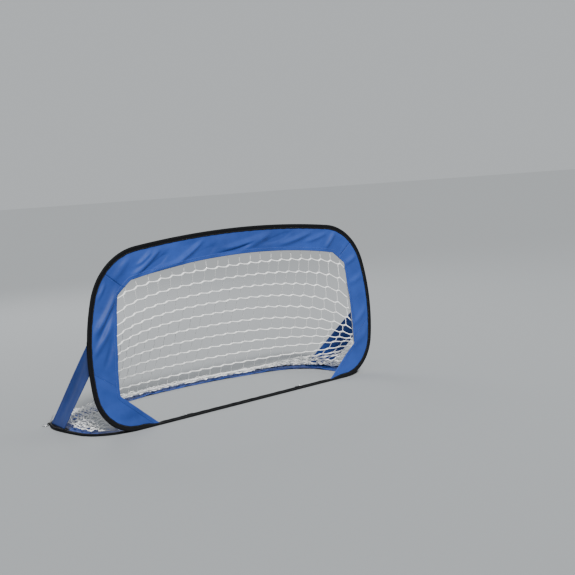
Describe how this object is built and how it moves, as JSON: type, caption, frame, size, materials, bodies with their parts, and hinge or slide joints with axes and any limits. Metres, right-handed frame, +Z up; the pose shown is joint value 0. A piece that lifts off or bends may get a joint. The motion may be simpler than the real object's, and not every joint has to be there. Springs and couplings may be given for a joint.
{
  "type": "pop up goal",
  "caption": "Pop-up lawn goal: a sprung fabric-faced hoop hinged to a sprung loop on the ground, held upright by side straps, with a net pocket and ground pegs.",
  "frame": {"origin": "middle of the ground rectangle the goal stands on", "axes": "+Z up, +X along the goal's width, +Y from the mouth towards the back of the net"},
  "size_m": [1.2, 0.4999, 0.575],
  "materials": {
    "spring_steel": "bare spring steel",
    "ferrule_metal": "crimped",
    "binding_tape": "black woven tape",
    "blue_fabric": "blue polyester with a slight sheen",
    "strap_fabric": "doubled blue polyester",
    "net_twine": "white knitted twine",
    "webbing": "black webbing",
    "peg_steel": "zinc plated wire"
  },
  "bodies": {
    "ground_loop": {"base_spring": "spring_steel", "base_spring_ferrule": "ferrule_metal", "base_binding_front": "binding_tape", "base_binding_left": "binding_tape", "base_binding_right": "binding_tape", "base_binding_rear": "binding_tape", "base_border_left": "blue_fabric", "base_border_right": "blue_fabric", "base_border_rear": "blue_fabric", "strap_foot_left": "binding_tape", "strap_foot_right": "binding_tape", "peg_loop_front_left": "webbing", "peg_loop_front_right": "webbing", "peg_loop_rear_left": "webbing", "peg_loop_rear_right": "webbing", "front_hinge_tape": "binding_tape", "side_strap_left": "strap_fabric", "side_strap_right": "strap_fabric", "goal_net": "net_twine"},
    "upright_hoop": {"hoop_spring": "spring_steel", "hoop_spring_ferrule": "ferrule_metal", "hoop_binding_left": "binding_tape", "hoop_binding_right": "binding_tape", "hoop_binding_top": "binding_tape", "hoop_binding_foot": "binding_tape", "facing_left": "blue_fabric", "facing_right": "blue_fabric", "facing_top": "blue_fabric", "gusset_left": "blue_fabric", "gusset_right": "blue_fabric", "mouth_hem_left": "blue_fabric", "mouth_hem_right": "blue_fabric", "mouth_hem_top": "blue_fabric", "strap_tab_left": "binding_tape", "strap_tab_right": "binding_tape"},
    "peg_front_left": {"ground_peg_front_left": "peg_steel"},
    "peg_front_right": {"ground_peg_front_right": "peg_steel"},
    "peg_rear_left": {"ground_peg_rear_left": "peg_steel"},
    "peg_rear_right": {"ground_peg_rear_right": "peg_steel"}
  },
  "joints": [
    {"name": "hoop_fold", "type": "hinge", "parent": "ground_loop", "child": "upright_hoop", "pos_m": [0, -0.24275, 0.00725], "axis": [-1, 0, 0], "range_deg": [0, 88], "stiffness_Nm_per_rad": 1.8, "springref_deg": -14.9, "deforming": ["goal_net", "side_strap_left", "side_strap_right", "front_hinge_tape"]},
    {"name": "peg_pull_front_left", "type": "slide", "parent": "ground_loop", "child": "peg_front_left", "axis": [-1, 0, 0], "range_m": [0, 0.16]},
    {"name": "peg_pull_front_right", "type": "slide", "parent": "ground_loop", "child": "peg_front_right", "axis": [1, 0, 0], "range_m": [0, 0.16]},
    {"name": "peg_pull_rear_left", "type": "slide", "parent": "ground_loop", "child": "peg_rear_left", "axis": [-0.587, -0.8096, 0], "range_m": [0, 0.16]},
    {"name": "peg_pull_rear_right", "type": "slide", "parent": "ground_loop", "child": "peg_rear_right", "axis": [0.587, -0.8096, 0], "range_m": [0, 0.16]}
  ]
}
